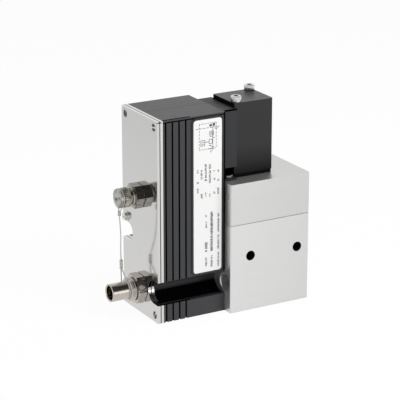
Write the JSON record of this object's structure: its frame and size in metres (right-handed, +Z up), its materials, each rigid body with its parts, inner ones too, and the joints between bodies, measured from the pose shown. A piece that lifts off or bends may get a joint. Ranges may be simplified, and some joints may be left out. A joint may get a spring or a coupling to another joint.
{
  "type": "proportional pressure valve",
  "caption": "Proportional pressure valve: two-part valve block with an upright solenoid, beside a tall fluted electronics housing with plug connectors and a capped service socket.",
  "frame": {"origin": "centre of the two panel holes, on the rear face of the valve block", "axes": "+X to the right from the housing towards the block, +Y back out of the rear face along the panel holes, +Z up"},
  "size_m": [0.1332, 0.0555, 0.143],
  "materials": {
    "housing_black": "dark grey moulded housing, satin",
    "cover_bright": "bright polished sheet",
    "gasket_dark": "black sheet gasket",
    "block_anodised": "natural anodised, fine matt",
    "solenoid_dark": "black coated casing",
    "screw_zinc": "zinc plated screws",
    "connector_nickel": "nickel plated connector body",
    "connector_black": "black connector body and nuts",
    "insulator_black": "black insulator",
    "contact_gold": "gilt contacts",
    "seal_black": "black seal rings",
    "cap_olive": "olive grey anodised cap",
    "cap_light": "light grey end disc",
    "cord_light": "light grey coated cord",
    "crimp_nickel": "plated crimp sleeves",
    "label_white": null,
    "steel_ground": "ground steel",
    "iron_soft": "soft magnetic iron, plated",
    "bobbin_white": "natural moulded bobbin",
    "copper": "enamelled copper winding",
    "board_green": "green circuit board",
    "chip_black": "black moulded component",
    "can_silver": "bright component can"
  },
  "bodies": {
    "valve_body": {"housing_front": "housing_black", "housing_rear": "housing_black", "shell_screws": "screw_zinc", "end_cover": "cover_bright", "cover_gasket": "gasket_dark", "cover_frame": "cover_bright", "cover_screws": "screw_zinc", "earth_screw": "screw_zinc", "earth_washer": "screw_zinc", "label_carrier": "housing_black", "label_plate": "label_white", "lower_block": "block_anodised", "upper_block": "block_anodised", "block_gasket": "gasket_dark", "block_screws_top": "screw_zinc", "block_screws_bottom": "screw_zinc", "valve_sleeve": "steel_ground", "sleeve_seals": "seal_black", "spring_seat": "steel_ground", "return_spring": "steel_ground", "solenoid_casing": "solenoid_dark", "solenoid_flange": "solenoid_dark", "solenoid_spacer": "iron_soft", "solenoid_screws": "screw_zinc", "pole_piece": "iron_soft", "guide_tube": "steel_ground", "end_stop": "iron_soft", "bobbin": "bobbin_white", "coil": "copper", "main_connector_body": "connector_nickel", "main_connector_insert": "insulator_black", "main_connector_pins": "contact_gold", "main_connector_nut": "connector_nickel", "main_connector_seal": "seal_black", "service_connector_body": "connector_black", "service_collar": "connector_nickel", "service_connector_insert": "insulator_black", "service_connector_pins": "contact_gold", "service_connector_nut": "connector_nickel", "service_connector_seal": "seal_black", "lanyard_cord": "cord_light", "lanyard_crimp": "crimp_nickel", "lanyard_lower_loop": "cord_light", "connector_board": "board_green", "circuit_board": "board_green", "board_screws": "screw_zinc", "board_header": "chip_black", "capacitor": "can_silver", "microcontroller": "chip_black", "power_transistor": "chip_black", "pressure_sensor": "can_silver", "sensor_seal": "seal_black", "coil_contacts": "copper"},
    "cap_carrier": {"lanyard_upper_loop": "crimp_nickel"},
    "cap": {"service_cap": "cap_olive", "cap_disc": "cap_light"},
    "spool": {"spool": "steel_ground"},
    "armature": {"armature": "iron_soft", "push_rod": "steel_ground"}
  },
  "joints": [
    {"name": "cap_slide", "type": "slide", "parent": "valve_body", "child": "cap_carrier", "axis": [-1, 0, 0], "range_m": [0, 0.004]},
    {"name": "cap_turn", "type": "hinge", "parent": "cap_carrier", "child": "cap", "pos_m": [-0.093, -0.024, 0.0435], "axis": [-1, 0, 0], "range_deg": [0, 1440]},
    {"name": "spool_slide", "type": "slide", "parent": "valve_body", "child": "spool", "axis": [0, 0, -1], "range_m": [0, 0.0025], "stiffness_N_per_m": 800, "springref_m": -0.004, "deforming": ["return_spring"]},
    {"name": "armature_slide", "type": "slide", "parent": "valve_body", "child": "armature", "axis": [0, 0, -1], "range_m": [0, 0.0025]}
  ],
  "couplings": [
    {"joint": "cap_turn", "follows": "cap_slide", "rad_per_m": 6283.2},
    {"joint": "armature_slide", "follows": "spool_slide", "ratio": 1}
  ]
}
